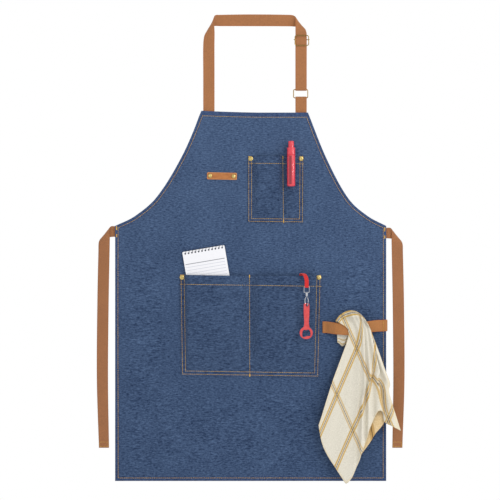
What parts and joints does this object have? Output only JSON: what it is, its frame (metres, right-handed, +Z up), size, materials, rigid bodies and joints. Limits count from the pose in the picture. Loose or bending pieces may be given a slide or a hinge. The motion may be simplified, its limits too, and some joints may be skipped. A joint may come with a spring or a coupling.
{
  "type": "bib apron with pockets",
  "caption": "Denim bib apron with tan webbing straps, riveted pockets and a leather tab, carrying a towel, notepad, pen and bottle opener",
  "frame": {"origin": "the hang point, at the middle of the lower edge of the neck band", "axes": "+Z up, the front faces -Y, +X to the right as seen from the front"},
  "size_m": [0.6924, 0.0498, 1.0545],
  "materials": {
    "denim": "heavy twill, faded mottle",
    "webbing": "ribbed cotton webbing",
    "brass": "polished pale brass",
    "leather": "smooth tan",
    "red_plastic": "gloss",
    "red_enamel": "satin enamel",
    "red_webbing": "woven",
    "steel": "polished",
    "paper": "ruled",
    "card": "grey board",
    "ink": "dark red felt core",
    "towel_cotton": "cotton with woven checks"
  },
  "bodies": {
    "root": {"apron_panel": "denim", "bib_pocket": "denim", "low_pocket": "denim", "leather_tab": "leather", "neck_strap": "webbing", "strap_return": "webbing", "strap_ring": "brass", "ring_tab": "webbing", "left_tie_root": "webbing", "right_tie_root": "webbing", "towel_loop": "webbing", "lanyard_strap": "red_webbing", "bib_left_rivet_cap": "brass", "bib_right_rivet_cap": "brass", "low_left_rivet_cap": "brass", "low_right_rivet_cap": "brass", "tab_left_rivet_cap": "brass", "tab_right_rivet_cap": "brass", "bib_left_rivet_burr": "brass", "bib_right_rivet_burr": "brass", "low_left_rivet_burr": "brass", "low_right_rivet_burr": "brass", "tab_left_rivet_burr": "brass", "tab_right_rivet_burr": "brass"},
    "slider": {"slider_frame": "brass", "slider_bar": "brass", "strap_end_loop": "webbing"},
    "left_tie": {"left_tie": "webbing"},
    "right_tie": {"right_tie": "webbing"},
    "towel": {"towel": "towel_cotton"},
    "notepad": {"notepad_card": "card", "notepad_pages": "paper", "notepad_coil": "steel"},
    "pen": {"pen_body": "red_plastic", "pen_core": "ink", "pen_cap": "red_plastic", "pen_clip": "steel"},
    "pen_button": {"pen_button": "red_plastic"},
    "fob": {"swivel_eye": "steel", "swivel_collar": "steel"},
    "hook": {"hook_stem": "steel", "hook_bow": "steel"},
    "gate": {"hook_gate": "steel"},
    "opener": {"bottle_opener": "red_enamel"}
  },
  "joints": [
    {"name": "slider_slide", "type": "slide", "parent": "root", "child": "slider", "axis": [0, 0, 1], "range_m": [-0.07, 0], "deforming": ["strap_return"]},
    {"name": "left_tie_wrap", "type": "hinge", "parent": "root", "child": "left_tie", "pos_m": [-0.30615, 0.005, -0.4515], "axis": [0, 0, -1], "range_deg": [0, 150]},
    {"name": "right_tie_wrap", "type": "hinge", "parent": "root", "child": "right_tie", "pos_m": [0.30615, 0.005, -0.455], "axis": [0, 0, 1], "range_deg": [0, 150]},
    {"name": "towel_lift", "type": "slide", "parent": "root", "child": "towel", "axis": [0, 0, 1], "range_m": [0, 0.065]},
    {"name": "notepad_lift", "type": "slide", "parent": "root", "child": "notepad", "axis": [-0.1668, 0, 0.986], "range_m": [0, 0.12]},
    {"name": "pen_lift", "type": "slide", "parent": "root", "child": "pen", "axis": [0, 0, 1], "range_m": [0, 0.07]},
    {"name": "button_press", "type": "slide", "parent": "pen", "child": "pen_button", "axis": [0, 0, -1], "range_m": [0, 0.004], "stiffness_N_per_m": 300, "springref_m": -0.001},
    {"name": "fob_swing", "type": "hinge", "parent": "root", "child": "fob", "pos_m": [0.1252, -0.0265, -0.5875], "axis": [-1, 0, 0], "range_deg": [0, 80]},
    {"name": "hook_swivel", "type": "hinge", "parent": "fob", "child": "hook", "pos_m": [0.1252, -0.0265, -0.6063], "axis": [0, 0, 1], "range_deg": [-20, 20]},
    {"name": "gate_press", "type": "hinge", "parent": "hook", "child": "gate", "pos_m": [0.1278, -0.0277, -0.6112], "axis": [0, 1, 0], "range_deg": [0, 18], "stiffness_Nm_per_rad": 0.02, "springref_deg": -5.73},
    {"name": "opener_swing", "type": "hinge", "parent": "hook", "child": "opener", "pos_m": [0.1261, -0.0265, -0.6288], "axis": [0, 1, 0], "range_deg": [-20, 20]}
  ]
}
